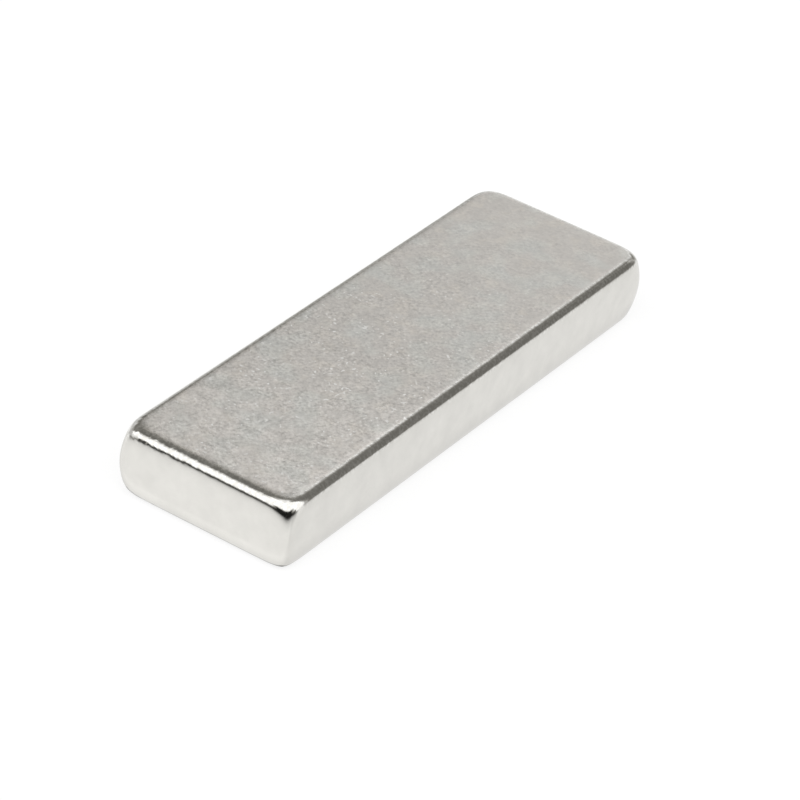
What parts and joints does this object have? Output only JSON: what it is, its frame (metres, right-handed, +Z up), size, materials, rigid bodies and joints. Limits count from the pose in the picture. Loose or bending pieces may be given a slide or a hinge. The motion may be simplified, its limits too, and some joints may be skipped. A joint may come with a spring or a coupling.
{
  "type": "block magnet",
  "caption": "Flat rectangular bar magnet with tumbled, rounded rims and corners and a satin nickel-plated surface, for holding, latching or sensing.",
  "frame": {"origin": "centre of the lower pole face, on the surface that the magnet lies on", "axes": "+X along the length, +Y along the width, +Z up through the thickness, from the lower pole face to the upper one"},
  "size_m": [0.025, 0.008, 0.003],
  "materials": {
    "nickel_plating": "nickel plating, fine sandy satin on the pole faces, smoother and brighter on the walls and rims"
  },
  "bodies": {
    "root": {"block_magnet": "nickel_plating"}
  },
  "joints": []
}
